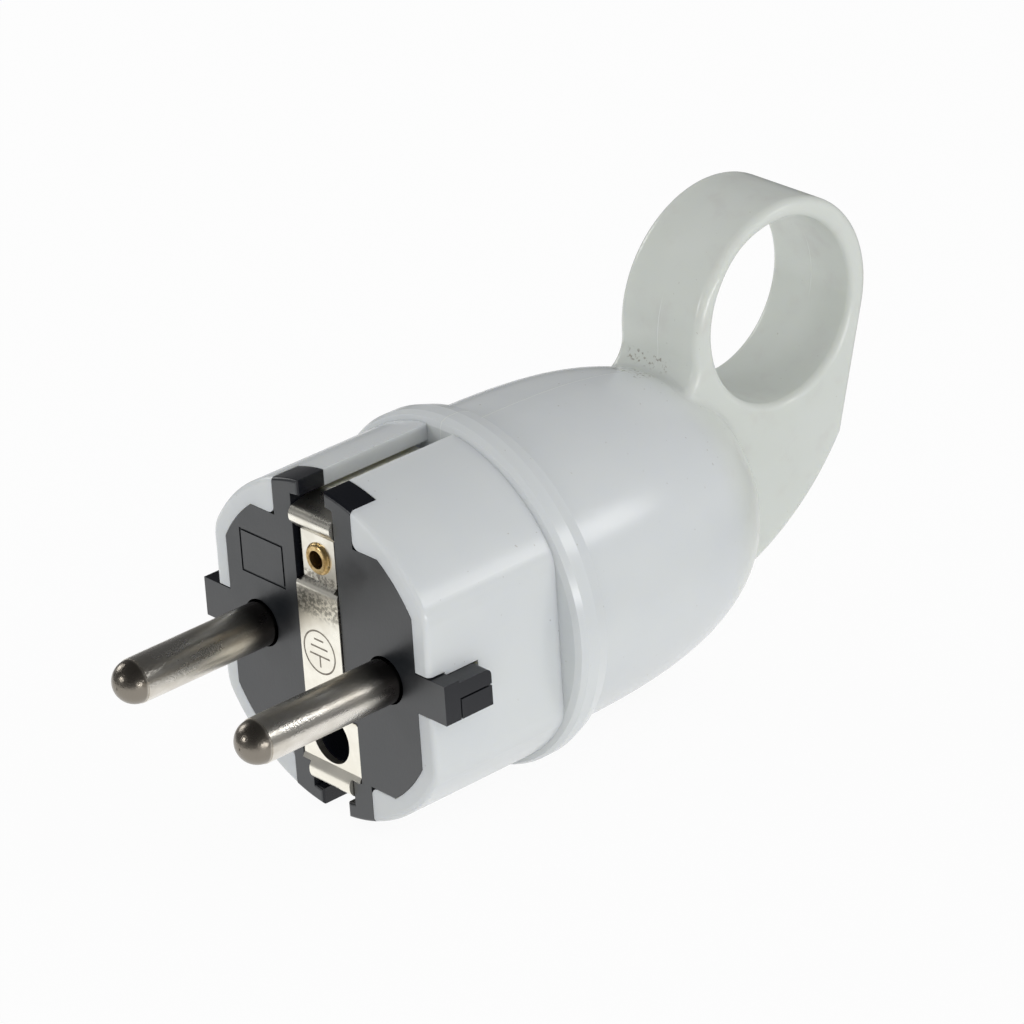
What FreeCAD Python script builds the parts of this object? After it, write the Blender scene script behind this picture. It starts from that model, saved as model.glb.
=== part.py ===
import FreeCAD, Part
import math
import os
import Sketcher

# Earthed round two-pin plug with a pull ring, in millimetres.
# The pins point along -Y, the front face lies in the XZ plane and +Z is up.
# Every sketch is drawn from the centre of the front face. The bodies are then
# placed so that the origin is under the middle of the whole plug.

doc = FreeCAD.newDocument("earthed_plug")

# Driving dimensions

SIZES = [
    # Front shell
    ("shell_radius", "18.5", "round part of the front shell"),
    ("shell_half_flat", "16.2", "half width across the two side flats"),
    ("shell_wall", "2.0", "wall around the contact carrier"),
    ("shell_depth", "17.4", "front face to the collar"),
    ("shell_edge", "0.55", "rounding of the front rim"),
    ("flat_blend", "4.0", "rounding where the side flats meet the round part"),
    ("ledge_depth", "13.2", "front face to the ledge that carries the cover"),
    ("ledge_width", "1.6", "width of that ledge"),
    ("spigot_length", "5.1", "part of the shell inside the housing"),
    ("fit_gap", "0.05", "clearance between pieces that slide together"),
    ("cavity_half_height", "13.4", "flat floor and roof of the shell's cavity"),
    # Openings of the shell
    ("window_half", "6.0", "half width of the window for two horns"),
    ("window_corner", "0.9", "rounded corner at the foot of that window"),
    ("window_depth", "3.55", "depth of the window from the front face"),
    ("groove_half", "2.0", "half width of the earth groove"),
    ("slot_top", "2.45", "upper side of the side slot"),
    ("slot_bottom", "2.1", "lower side of the side slot, below the middle"),
    ("slot_depth", "6.5", "depth of the side slot"),
    # Contact carrier and its cover
    ("plate_thick", "3.0", "front plate of the carrier"),
    ("skirt_wall", "1.5", "skirt of the carrier"),
    ("cover_thick", "3.0", "cover plate behind the carrier"),
    ("horn_depth", "3.5", "depth of the four horns"),
    ("horn_lip_half", "1.95", "half gap between the lips of two horns"),
    ("horn_lip_height", "16.6", "underside of a lip at its edge"),
    ("horn_edge", "0.35", "rounding of the horns"),
    ("arm_reach", "18.4", "side arm's outer face"),
    ("arm_front", "2.0", "length of the arm's front block"),
    ("arm_back", "6.2", "rear end of the arm"),
    ("arm_step", "0.3", "step on top of the arm"),
    ("arm_seam", "0.2", "height of the seam between arm and cover lug"),
    ("arm_round", "0.7", "rounded rear corner of the arm"),
    ("tongue_thick", "0.7", "tongue of the cover beside the carrier"),
    # Pins
    ("pin_pitch", "19.0", "distance between the pins"),
    ("pin_radius", "2.4", "pin"),
    ("pin_length", "19.0", "front face to the pin's tip"),
    ("pin_tip_radius", "2.33", "domed tip"),
    ("pin_neck_radius", "2.15", "neck of the pin in the plate"),
    ("pin_neck_lead", "0.3", "how far the neck reaches out of the plate"),
    ("pin_neck_depth", "2.5", "start of the thicker part in the carrier"),
    ("pin_body_radius", "3.0", "thicker part in the carrier"),
    ("pin_flange_radius", "3.55", "flange held by the cover"),
    ("pin_flange_thick", "2.2", "thickness of that flange"),
    ("barrel_radius", "2.9", "terminal barrel"),
    ("barrel_length", "11.8", "terminal barrel behind the flange"),
    ("wire_radius", "1.6", "wire hole in the barrel"),
    ("wire_depth", "9.0", "depth of the wire hole"),
    ("clamp_place", "4.5", "terminal screw to the barrel's end"),
    # Earth strap
    ("strap_thick", "0.8", "sheet thickness"),
    ("strap_half", "3.1", "half width of the strap"),
    ("strap_neck_half", "2.5", "half width at the rivet"),
    ("strap_foot_half", "4.4", "half width at the screw hole"),
    ("top_roll_bend", "0.6", "middle radius of the upper roll"),
    ("bottom_roll_bend", "0.9", "middle radius of the lower roll"),
    ("top_roll_height", "14.95", "middle of the sheet above the upper roll"),
    ("bottom_roll_height", "15.2", "middle of the sheet under the lower roll"),
    ("ramp_end", "3.8", "depth at which the side contacts reach their height"),
    ("ramp_bend", "2.0", "middle radius of that bend"),
    ("strap_bend", "0.55", "middle radius of the small bends"),
    ("strap_top_bulge", "0.5", "front of the upper roll before the face"),
    ("strap_bottom_bulge", "0.55", "front of the lower roll before the face"),
    ("strap_neck_sink", "0.45", "rivet flat behind the face"),
    ("strap_flat_rise", "0.2", "main flat before the face"),
    ("strap_foot_sink", "0.1", "foot behind the face"),
    ("contact_height", "16.3", "outer side of the side contacts"),
    ("contact_back", "1.5", "rear end of the side contacts to the collar"),
    ("step_height", "7.2", "middle of the step below the rivet flat"),
    ("foot_height", "6.8", "upper end of the foot, below the middle"),
    ("screw_height", "10.0", "assembly screw below the middle"),
    ("rivet_height", "10.2", "rivet above the middle"),
    ("rivet_hole_radius", "1.4", "rivet tube outside"),
    ("rivet_bore_radius", "1.0", "rivet tube inside"),
    ("rivet_head_radius", "1.75", "rivet head"),
    ("rivet_head_thick", "0.4", "rivet head and rolled end"),
    # Earth terminal
    ("terminal_thick", "1.2", "brass sheet of the earth terminal"),
    ("terminal_half", "3.5", "half width of the earth terminal"),
    ("terminal_bend", "1.3", "middle radius of its bend"),
    ("terminal_leg_height", "5.6", "underside of its leg"),
    ("terminal_leg_end", "19.5", "rear end of its leg"),
    ("earth_screw_place", "16.3", "earth screw behind the face"),
    ("clamp_washer_half", "3.2", "half width of the square washer"),
    ("clamp_washer_thick", "0.9", "square washer"),
    # Screws
    ("small_screw_radius", "1.5", "terminal and cord clamp screws"),
    ("small_head_radius", "2.5", "their heads"),
    ("small_head_height", "1.9", "their heads"),
    ("large_screw_radius", "1.75", "assembly and earth screws"),
    ("large_head_radius", "2.65", "their heads"),
    ("large_head_height", "2.4", "their heads"),
    ("slot_width", "0.8", "driver slot"),
    ("slot_cut", "0.9", "depth of the driver slot"),
    ("screw_seat", "8.0", "seat of the assembly screw behind the face"),
    ("access_radius", "2.8", "bore through which the screw is reached"),
    ("screw_wall", "1.4", "wall around that bore"),
    ("screw_clear", "0.15", "clearance around the shanks"),
    ("washer_radius", "3.3", "retaining washer"),
    ("washer_thick", "0.8", "retaining washer"),
    # Rear housing
    ("collar_radius", "19.35", "collar"),
    ("collar_edge", "1.0", "rounded front edge of the collar"),
    ("collar_length", "4.0", "collar up to the end of its slope"),
    ("collar_slope", "0.45", "fall of that slope"),
    ("collar_foot", "19.0", "small flat under the collar"),
    ("dome_offset", "3.6", "front of the collar to the start of the dome's curve"),
    ("dome_radius", "17.63", "dome at its start"),
    ("dome_length", "32.8", "dome from its start to its top"),
    ("dome_side_power", "2.92", "fullness of the curve along the plug"),
    ("dome_top_power", "3.07", "fullness of the curve across the plug"),
    ("housing_wall", "2.2", "wall of the dome"),
    # Pull ring
    ("ring_reach", "39.4", "start of the dome to the middle of the ring"),
    ("ring_height", "17.8", "middle of the ring above the plug's middle"),
    ("ring_long", "12.9", "half the ring's outside, along its longer axis"),
    ("ring_short", "12.15", "half the ring's outside, across it"),
    ("ring_lean", "39.0", "rise of the longer axis, degrees"),
    ("ring_hole_radius", "10.2", "finger hole"),
    ("ring_hole_rise", "0.4", "middle of the hole above the middle of the ring"),
    ("ring_half", "6.0", "half width of the ring"),
    ("ring_edge", "1.0", "rounded outer edges of ring and web"),
    ("ring_hole_edge", "0.8", "rounded edges of the finger hole"),
    ("ring_root", "0.8", "fillet between ring and dome"),
    ("leg_flare", "3.4", "radius of the flare in front of the ring's leg"),
    ("leg_flare_turn", "80.0", "angle of that flare, degrees"),
    ("leg_flare_drop", "0.5", "middle of the ring down to the start of that flare"),
    ("web_reach", "47.6", "start of the dome to the end of the web's straight rear edge"),
    ("web_height", "1.4", "height of that end"),
    ("web_foot_reach", "26.5", "start of the dome to the end of the web inside it"),
    ("web_foot_height", "11.0", "height of that end, below the middle"),
    ("web_curve", "30.0", "radius of the web's lower edge"),
    # Inside of the housing
    ("tower_offset", "1.3", "rear end of the spigot's bore to the tower for the insert"),
    ("tower_length", "8.0", "length of that tower"),
    ("tower_radius", "4.5", "outside of the tower"),
    ("tower_rib_half", "1.5", "rib under the tower"),
    ("insert_radius", "3.0", "threaded insert"),
    ("insert_length", "7.5", "threaded insert"),
    ("screw_reach", "7.0", "length of the screw in the insert"),
    ("post_reach", "16.5", "start of the dome to the posts for the cord clamp"),
    ("post_offset", "7.8", "posts beside the middle"),
    ("post_height", "6.0", "posts below the middle"),
    ("post_radius", "3.0", "posts"),
    ("post_hole_depth", "7.5", "screw holes in the posts"),
    ("anvil_half", "4.6", "block behind the cord"),
    ("anvil_gap", "5.5", "posts' front to that block"),
    ("clamp_thick", "4.0", "cord clamp"),
    ("clamp_half_height", "2.9", "cord clamp"),
    ("saddle_radius", "4.2", "hollow of the clamp"),
    ("saddle_cut", "2.4", "depth of that hollow"),
    ("inlet_reach", "18.0", "start of the dome to the cable inlet"),
    ("inlet_face", "15.4", "flat face around the inlet, below the middle"),
    ("inlet_face_radius", "6.6", "that face"),
    ("inlet_seat", "12.4", "seat of the bush, below the middle"),
    ("inlet_radius", "5.0", "bore for the bush"),
    ("cable_radius", "4.0", "hole in the bush"),
    ("bush_flange_radius", "5.8", "flange of the bush"),
    ("bush_flange_thick", "1.2", "flange of the bush"),
    ("bush_lip", "0.5", "bush beyond the inlet's face"),
    # Shallow frame on the carrier's face
    ("frame_left", "11.9", "outer side, left of the middle"),
    ("frame_right", "5.1", "inner side, left of the middle"),
    ("frame_top", "10.1", "upper side"),
    ("frame_bottom", "5.2", "lower side"),
    ("frame_line", "0.25", "width of the engraved line"),
    ("frame_cut", "0.15", "depth of the engraved line"),
    # Sizes that follow from the ones above
    ("cavity_radius", "=shell_radius - shell_wall", "cavity of the shell"),
    ("cavity_half_flat", "=shell_half_flat - shell_wall", "cavity across the flats"),
    ("cavity_flat_end", "=sqrt(cavity_radius^2 - cavity_half_flat^2)", "corner of the cavity"),
    ("cavity_roof_end", "=sqrt(cavity_radius^2 - cavity_half_height^2)", "corner of the cavity"),
    ("shell_flat_end", "=sqrt(shell_radius^2 - shell_half_flat^2)", "corner of the shell"),
    ("ledge_radius", "=cavity_radius - ledge_width", "opening behind the ledge"),
    ("ledge_half_flat", "=cavity_half_flat - ledge_width", "opening behind the ledge"),
    ("ledge_flat_end", "=sqrt(ledge_radius^2 - ledge_half_flat^2)", "opening behind the ledge"),
    ("bore_radius", "=shell_radius - 1.1 * shell_wall", "bore of the housing"),
    ("bore_half_flat", "=shell_half_flat - shell_wall", "bore of the housing"),
    ("bore_flat_end", "=sqrt(bore_radius^2 - bore_half_flat^2)", "bore of the housing"),
    ("spigot_radius", "=bore_radius - fit_gap", "spigot in that bore"),
    ("spigot_half_flat", "=bore_half_flat - fit_gap", "spigot in that bore"),
    ("spigot_flat_end", "=sqrt(spigot_radius^2 - spigot_half_flat^2)", "spigot in that bore"),
    ("spigot_end", "=shell_depth + spigot_length", "rear end of the spigot"),
    ("cavity_start", "=spigot_end + 4 * fit_gap", "rear end of the bore for the spigot"),
    ("collar_back", "=shell_depth + collar_length", "rear end of the collar's slope"),
    ("collar_back_radius", "=collar_radius - collar_slope", "collar where its slope ends"),
    ("dome_start", "=shell_depth + dome_offset", "start of the dome's curve"),
    ("tower_start", "=cavity_start + tower_offset", "front of the tower for the insert"),
    ("post_place", "=dome_start + post_reach", "front of the posts for the cord clamp"),
    ("inlet_place", "=dome_start + inlet_reach", "cable inlet behind the face"),
    ("ring_place", "=dome_start + ring_reach", "middle of the ring behind the face"),
    ("ring_hole_height", "=ring_height + ring_hole_rise", "middle of the finger hole"),
    ("web_place", "=dome_start + web_reach", "lower end of the web's straight rear edge"),
    ("web_foot_place", "=dome_start + web_foot_reach", "end of the web inside the dome"),
    ("outside", "=collar_radius + 2", "beyond everything, for cuts that run out"),
    ("groove_end", "=shell_depth", "rear end of the earth groove"),
    ("contact_end", "=shell_depth - contact_back", "rear end of the side contacts"),
    ("window_foot", "=window_half + window_corner", "foot of the horn window"),
    ("window_foot_top", "=cavity_half_height + window_corner", "foot of the horn window"),
    ("window_base", "=cavity_half_height - 0.5 * window_corner", "window reaches into the cavity"),
    ("channel_half", "=strap_half + 2 * fit_gap", "channel for the strap"),
    ("contact_floor", "=contact_height - strap_thick - 3 * fit_gap", "floor of the contact channel"),
    ("contact_roof", "=contact_height + 5 * fit_gap", "roof of the contact channel"),
    ("carrier_radius", "=cavity_radius - fit_gap", "carrier"),
    ("carrier_half_flat", "=cavity_half_flat - fit_gap", "carrier"),
    ("carrier_half_height", "=cavity_half_height - fit_gap", "carrier"),
    ("carrier_flat_end", "=sqrt(carrier_radius^2 - carrier_half_flat^2)", "carrier"),
    ("carrier_roof_end", "=sqrt(carrier_radius^2 - carrier_half_height^2)", "carrier"),
    ("skirt_radius", "=carrier_radius - skirt_wall", "inside of the skirt"),
    ("skirt_half_flat", "=carrier_half_flat - skirt_wall", "inside of the skirt"),
    ("skirt_half_height", "=carrier_half_height - skirt_wall", "inside of the skirt"),
    ("skirt_flat_end", "=sqrt(skirt_radius^2 - skirt_half_flat^2)", "inside of the skirt"),
    ("skirt_roof_end", "=sqrt(skirt_radius^2 - skirt_half_height^2)", "inside of the skirt"),
    ("cover_start", "=ledge_depth - cover_thick", "front of the cover"),
    ("horn_half", "=window_half - fit_gap", "outer side of a horn"),
    ("horn_radius", "=shell_radius - fit_gap", "round side of a horn"),
    ("horn_root", "=carrier_half_height - 0.5", "horn reaches into the plate"),
    ("horn_lip_root", "=horn_lip_height - 0.2", "underside of a lip at its root"),
    ("horn_inner_top", "=sqrt(horn_radius^2 - horn_lip_half^2)", "tip of a horn"),
    ("horn_outer_top", "=sqrt(horn_radius^2 - horn_half^2)", "tip of a horn"),
    ("arm_top", "=slot_top - 3 * fit_gap", "top of the arm's front block"),
    ("arm_finger_top", "=arm_top - arm_step", "top of the arm's rear finger"),
    ("slot_finger_top", "=arm_finger_top + fit_gap", "upper side of the slot behind its step"),
    ("slot_mouth_end", "=arm_front + 2 * fit_gap", "step in the upper side of the slot"),
    ("arm_foot", "=slot_bottom - fit_gap", "underside of the arm, below the middle"),
    ("arm_root", "=carrier_half_flat - skirt_wall", "arm reaches into the carrier"),
    ("arm_curve_start", "=arm_back - arm_round", "rounded rear corner"),
    ("arm_curve_top", "=arm_finger_top - arm_round", "rounded rear corner"),
    ("seam_under", "=arm_seam - 2 * fit_gap", "top of the cover's lug"),
    ("seam_over", "=arm_seam + 2 * fit_gap", "underside of the arm's finger"),
    ("lug_front", "=arm_front + 3 * fit_gap", "front of the cover's lug"),
    ("tongue_outer", "=carrier_half_flat - fit_gap", "outer side of the tongue"),
    ("tongue_inner", "=tongue_outer - tongue_thick", "inner side of the tongue"),
    ("notch_inner", "=tongue_inner - fit_gap", "notch for the tongue"),
    ("pin_offset", "=pin_pitch / 2", "pin beside the middle"),
    ("pin_tip_place", "=-pin_length", "tip of the pin"),
    ("pin_crease_place", "=-pin_length + pin_tip_radius", "start of the domed tip"),
    ("pin_neck_front", "=-pin_neck_lead", "front end of the neck"),
    ("flange_start", "=cover_start - pin_flange_thick", "front of the pin's flange"),
    ("barrel_end", "=cover_start + barrel_length", "end of the barrel"),
    ("wire_start", "=barrel_end - wire_depth", "bottom of the wire hole"),
    ("clamp_screw_place", "=barrel_end - clamp_place", "terminal screw behind the face"),
    ("boss_radius", "=carrier_half_flat - pin_offset", "boss around the pin"),
    ("pin_bore_radius", "=pin_radius + 4 * fit_gap", "bore in the plate, wide enough for the pin to pass"),
    ("pin_body_bore_radius", "=pin_body_radius + fit_gap", "bore in the boss"),
    ("pin_flange_bore_radius", "=pin_flange_radius + fit_gap", "pocket for the flange"),
    ("barrel_hole_radius", "=barrel_radius + 2 * fit_gap", "hole in the cover"),
    ("half_sheet", "=strap_thick / 2", "half the strap's thickness"),
    ("contact_middle", "=contact_height - half_sheet", "middle of the side contacts"),
    ("contact_inner", "=contact_height - strap_thick", "inner side of the side contacts"),
    ("neck_back", "=strap_neck_sink + strap_thick", "back of the rivet flat"),
    ("flat_back", "=strap_thick - strap_flat_rise", "back of the main flat"),
    ("foot_back", "=strap_foot_sink + strap_thick", "back of the foot"),
    ("neck_floor_end", "=step_height - 0.7", "lower end of the deep channel"),
    ("foot_floor_start", "=foot_height - 0.7", "upper end of the foot's channel"),
    ("foot_pocket_half", "=strap_foot_half + 2 * fit_gap", "pocket for the foot"),
    ("foot_edge", "=cavity_half_height + 2 * fit_gap", "lower edge of the wide foot"),
    ("foot_pocket_end", "=foot_edge + 2 * fit_gap", "pocket for the foot"),
    ("screw_tube_half", "=access_radius + screw_wall", "tube for the screw"),
    ("screw_hole_radius", "=large_screw_radius + screw_clear", "hole for the screw"),
    ("screw_head_place", "=screw_seat - large_head_height", "front of the screw's head"),
    ("screw_end", "=tower_start + screw_reach", "end of the assembly screw"),
    ("insert_end", "=tower_start + insert_length", "rear end of the insert"),
    ("tower_end", "=tower_start + tower_length", "rear end of the tower"),
    ("washer_end", "=ledge_depth + washer_thick", "rear face of the retaining washer"),
    ("rivet_front", "=strap_neck_sink - rivet_head_thick", "front of the rivet's head"),
    ("rivet_back", "=plate_thick + terminal_thick", "back of the earth terminal"),
    ("rivet_end", "=rivet_back + rivet_head_thick", "end of the rivet"),
    ("terminal_foot_middle", "=plate_thick + terminal_thick / 2", "middle of the foot"),
    ("terminal_leg_middle", "=terminal_leg_height + terminal_thick / 2", "middle of the leg"),
    ("terminal_leg_top", "=terminal_leg_height + terminal_thick", "top of the leg"),
    ("terminal_foot_top", "=rivet_height + 2.2", "upper end of the foot"),
    ("terminal_notch_top", "=terminal_foot_top + 2 * fit_gap", "room for the foot in the skirt"),
    ("terminal_notch_end", "=rivet_end + 6 * fit_gap", "room for the foot in the skirt"),
    ("rivet_rolled_radius", "=rivet_head_radius - 0.1", "rolled end of the rivet"),
    ("leg_window_half", "=terminal_half + 6 * fit_gap", "window in the cover"),
    ("leg_window_bottom", "=terminal_leg_height - 6 * fit_gap", "window in the cover"),
    ("leg_window_top", "=terminal_leg_top + 50 * fit_gap", "window in the cover"),
    ("clamp_washer_top", "=terminal_leg_top + clamp_washer_thick", "top of the washer"),
    ("earth_screw_end", "=terminal_leg_height - 2.4", "end of the earth screw"),
    ("anvil_start", "=post_place + anvil_gap", "front of the block behind the cord"),
    ("clamp_start", "=post_place - clamp_thick", "front of the cord clamp"),
    ("clamp_end_middle", "=post_offset", "rounded end of the cord clamp"),
    ("saddle_middle", "=post_place + saddle_radius - saddle_cut", "axis of the hollow"),
    ("post_hole_end", "=post_place + post_hole_depth", "end of the posts' holes"),
    ("clamp_top", "=clamp_half_height - post_height", "top of the cord clamp"),
    ("clamp_bottom", "=-clamp_half_height - post_height", "underside of the cord clamp"),
    ("bush_top", "=bush_flange_thick - inlet_seat", "top of the bush"),
    ("bush_bottom", "=-inlet_face - bush_lip", "underside of the bush"),
    ("inlet_boss_radius", "=inlet_radius + 0.75 * housing_wall", "boss around the inlet"),
    ("collar_front_radius", "=collar_radius - collar_edge", "front face of the collar"),
    ("collar_edge_end", "=shell_depth + collar_edge", "end of the rounded edge"),
    ("collar_slope_start", "=shell_depth + 2.5 * collar_edge", "start of the slope"),
    ("collar_step_end", "=collar_back + 0.4", "foot of the step behind the collar"),
    ("dome_end", "=dome_start + dome_length", "top of the dome"),
    ("top_roll_front", "=strap_top_bulge - half_sheet", "middle of the upper roll's front"),
    ("top_roll_end", "=cavity_half_height + 0.7", "lower end of the upper roll"),
    ("neck_start", "=cavity_half_height - 0.4", "upper end of the rivet flat"),
    ("neck_middle", "=strap_neck_sink + half_sheet", "middle of the rivet flat"),
    ("flat_middle", "=half_sheet - strap_flat_rise", "middle of the main flat"),
    ("foot_middle", "=strap_foot_sink + half_sheet", "middle of the foot"),
    ("step_top", "=step_height + strap_bend / 2", "upper bend of the step"),
    ("step_bottom", "=step_height - strap_bend / 2", "lower bend of the step"),
    ("foot_bend_top", "=foot_height - strap_bend / 2", "upper bend above the foot"),
    ("foot_bend_bottom", "=foot_height + strap_bend / 2", "lower bend above the foot"),
    ("foot_end", "=cavity_half_height - 0.3", "lower end of the foot"),
    ("bottom_roll_front", "=strap_bottom_bulge - half_sheet", "middle of the lower roll's front"),
    ("bottom_roll_start", "=cavity_half_height + 0.7", "upper end of the lower roll"),
    ("rivet_head_edge", "=rivet_head_radius - 0.3", "flat part of the rivet's head"),
    ("rivet_head_curve", "=rivet_head_thick * 1.3", "rounded side of the rivet's head"),
    ("collar_edge_mid_place", "=shell_depth + 0.293 * collar_edge", "rounded edge of the collar"),
    ("collar_edge_mid_radius", "=collar_radius - 0.293 * collar_edge", "rounded edge"),
    ("dome_foot_radius", "=dome_radius + 0.1", "foot of the step behind the collar"),
    ("half_slot", "=slot_width / 2", "half the driver slot"),
    ("terminal_screw_end", "=wire_radius / 4", "tip of the terminal screw"),
    ("terminal_head_top", "=barrel_radius + small_head_height", "its head"),
    ("terminal_slot_floor", "=terminal_head_top - slot_cut", "its driver slot"),
    ("earth_head_top", "=clamp_washer_top + large_head_height", "head of the earth screw"),
    ("earth_slot_floor", "=earth_head_top - slot_cut", "its driver slot"),
    ("assembly_slot_floor", "=screw_head_place + slot_cut", "driver slot of the assembly screw"),
    ("cord_head_front", "=clamp_start - small_head_height", "head of a cord clamp screw"),
    ("cord_slot_floor", "=cord_head_front + slot_cut", "its driver slot"),
    ("cord_screw_end", "=post_hole_end - 2 * screw_clear", "its tip"),
    ("inner_frame_left", "=frame_left - frame_line", "inside of the engraved line"),
    ("inner_frame_right", "=frame_right + frame_line", "inside of the engraved line"),
    ("inner_frame_top", "=frame_top - frame_line", "inside of the engraved line"),
    ("inner_frame_bottom", "=frame_bottom + frame_line", "inside of the engraved line"),
    ("ring_back", "=ring_place + sqrt((ring_long * cos(ring_lean))^2 + (ring_short * sin(ring_lean))^2)",
     "rearmost point of the ring"),
    ("place_y", "=(pin_length - ring_back) / 2", "origin under the middle"),
    ("place_z", "=collar_foot", "origin at the lowest point"),
]

dims = doc.addObject("Spreadsheet::Sheet", "dims")
for row, (alias, content, note) in enumerate(SIZES, start=1):
    dims.set(f"A{row}", alias)
    dims.set(f"B{row}", content)
    dims.set(f"C{row}", note)
    dims.setAlias(f"B{row}", alias)
doc.recompute()


# Reading the sheet

def number(term):
    """Value of a term: a number, an alias, or an alias with a minus sign."""
    if not isinstance(term, str):
        return float(term)
    if term.startswith("-"):
        return -number(term[1:])
    return float(getattr(dims, term))


def formula(term):
    """The same term as an expression for setExpression."""
    if not isinstance(term, str):
        return str(float(term))
    if term.startswith("-"):
        return f"-dims.{term[1:]}"
    return f"dims.{term}"


def flip(term, side):
    """The term itself for side 1 and its opposite for side -1."""
    if side > 0:
        return term
    if not isinstance(term, str):
        return -term
    return term[1:] if term.startswith("-") else "-" + term


# Bodies and sketches

# Numbers by which Sketcher knows its two axes and the points of a curve
H_AXIS = -1
V_AXIS = -2
POINTS = ("edge", "start", "end", "centre")
START = POINTS.index("start")
END = POINTS.index("end")
CENTRE = POINTS.index("centre")

# Two things closer than this touch
NEAR = 0.02

CUTS = []


def new_body(label, place_x=0.0, placed=True):
    body = doc.addObject("PartDesign::Body", label)
    body.Label = label
    if not placed:
        return body
    body.setExpression("Placement.Base.x", formula(place_x))
    body.setExpression("Placement.Base.y", "dims.place_y")
    body.setExpression("Placement.Base.z", "dims.place_z")
    return body


def new_sketch(body, name, plane, offset=0.0):
    """A sketch on one of the body's own planes, moved along the plane's normal."""
    sketch = body.newObject("Sketcher::SketchObject", name)
    for feature in body.Origin.OriginFeatures:
        if feature.Role == plane:
            sketch.AttachmentSupport = [(feature, "")]
    sketch.MapMode = "FlatFace"
    sketch.setExpression("AttachmentOffset.Base.z", formula(offset))
    return sketch


def bind(sketch, constraint, term):
    index = sketch.addConstraint(constraint)
    if isinstance(term, str):
        sketch.setExpression(f"Constraints[{index}]", formula(term))


def fix_point(sketch, geometry, position, across, up):
    """Hold a point at two distances from the sketch's origin."""
    if number(across) == 0:
        sketch.addConstraint(Sketcher.Constraint("PointOnObject", geometry, position, V_AXIS))
    else:
        held = Sketcher.Constraint("DistanceX", H_AXIS, START, geometry, position, number(across))
        bind(sketch, held, across)
    if number(up) == 0:
        sketch.addConstraint(Sketcher.Constraint("PointOnObject", geometry, position, H_AXIS))
    else:
        held = Sketcher.Constraint("DistanceY", H_AXIS, START, geometry, position, number(up))
        bind(sketch, held, up)


def arc_between(first, last, radius, turn):
    """Short arc from first to last, to the left for turn 1 and to the right for -1."""
    middle = (first + last) * 0.5
    chord = last - first
    rise = math.sqrt(max(radius ** 2 - chord.Length ** 2 / 4, 0.0))
    normal = FreeCAD.Vector(-chord.y, chord.x, 0).normalize()
    centre = middle + normal * (rise * turn)
    circle = Part.Circle(centre, FreeCAD.Vector(0, 0, 1), radius)
    ends = (first, last) if turn > 0 else (last, first)
    return Part.ArcOfCircle(circle, circle.parameter(ends[0]), circle.parameter(ends[1]))


def hold_radius(sketch, geometry, corner, first, last):
    """Fix an arc between held ends: by its radius, or a half circle by its middle."""
    if (last - first).Length < 2 * number(corner[2]) - 1e-6:
        bind(sketch, Sketcher.Constraint("Radius", geometry, number(corner[2])), corner[2])
    elif abs(last.y - first.y) < 1e-9:
        held = Sketcher.Constraint("DistanceY", H_AXIS, START, geometry, CENTRE, number(corner[1]))
        bind(sketch, held, corner[1])
    else:
        held = Sketcher.Constraint("DistanceX", H_AXIS, START, geometry, CENTRE, number(corner[0]))
        bind(sketch, held, corner[0])


def add_loop(sketch, corners):
    """Closed outline. A corner is (x, y) or (x, y, radius, turn) where an arc starts."""
    spots = [FreeCAD.Vector(number(corner[0]), number(corner[1]), 0) for corner in corners]
    ends = []
    for index, corner in enumerate(corners):
        first = spots[index]
        last = spots[(index + 1) % len(spots)]
        if len(corner) == 4:
            geometry = sketch.addGeometry(arc_between(first, last, number(corner[2]), corner[3]))
            hold_radius(sketch, geometry, corner, first, last)
            ends.append((geometry, START, END) if corner[3] > 0 else (geometry, END, START))
        else:
            geometry = sketch.addGeometry(Part.LineSegment(first, last))
            ends.append((geometry, START, END))
    for index, corner in enumerate(corners):
        geometry, start, end = ends[index]
        following, next_start, _ = ends[(index + 1) % len(ends)]
        sketch.addConstraint(Sketcher.Constraint("Coincident", geometry, end, following, next_start))
        fix_point(sketch, geometry, start, corner[0], corner[1])


def add_circle(sketch, across, up, radius):
    middle = FreeCAD.Vector(number(across), number(up), 0)
    geometry = sketch.addGeometry(Part.Circle(middle, FreeCAD.Vector(0, 0, 1), number(radius)))
    bind(sketch, Sketcher.Constraint("Radius", geometry, number(radius)), radius)
    fix_point(sketch, geometry, CENTRE, across, up)


def box_corners(left, right, bottom, top):
    return [(left, bottom), (right, bottom), (right, top), (left, top)]


def round_flat_corners(radius, half_flat, flat_end):
    """Circle with two side flats."""
    return [
        (half_flat, flat_end, radius, 1),
        ("-" + half_flat, flat_end),
        ("-" + half_flat, "-" + flat_end, radius, 1),
        (half_flat, "-" + flat_end),
    ]


def carrier_corners(radius, half_flat, flat_end, half_height, roof_end):
    """Circle with two side flats, a flat roof and a flat floor."""
    return [
        (half_flat, flat_end, radius, 1),
        (roof_end, half_height),
        ("-" + roof_end, half_height, radius, 1),
        ("-" + half_flat, flat_end),
        ("-" + half_flat, "-" + flat_end, radius, 1),
        ("-" + roof_end, "-" + half_height),
        (roof_end, "-" + half_height, radius, 1),
        (half_flat, "-" + flat_end),
    ]


def draw(sketch, outlines):
    """Outlines are lists of corners, or (x, y, radius) for a circle."""
    for outline in outlines:
        if isinstance(outline, tuple):
            add_circle(sketch, *outline)
        else:
            add_loop(sketch, outline)


# Features that run along the plug, from one depth behind the face to another

def pad_along(body, name, outlines, start, end):
    sketch = new_sketch(body, name + "_sketch", "XZ_Plane", flip(start, -1))
    draw(sketch, outlines)
    pad = body.newObject("PartDesign::Pad", name)
    pad.Profile = sketch
    pad.Reversed = True
    pad.setExpression("Length", f"{formula(end)} - ({formula(start)})")
    return pad


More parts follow.
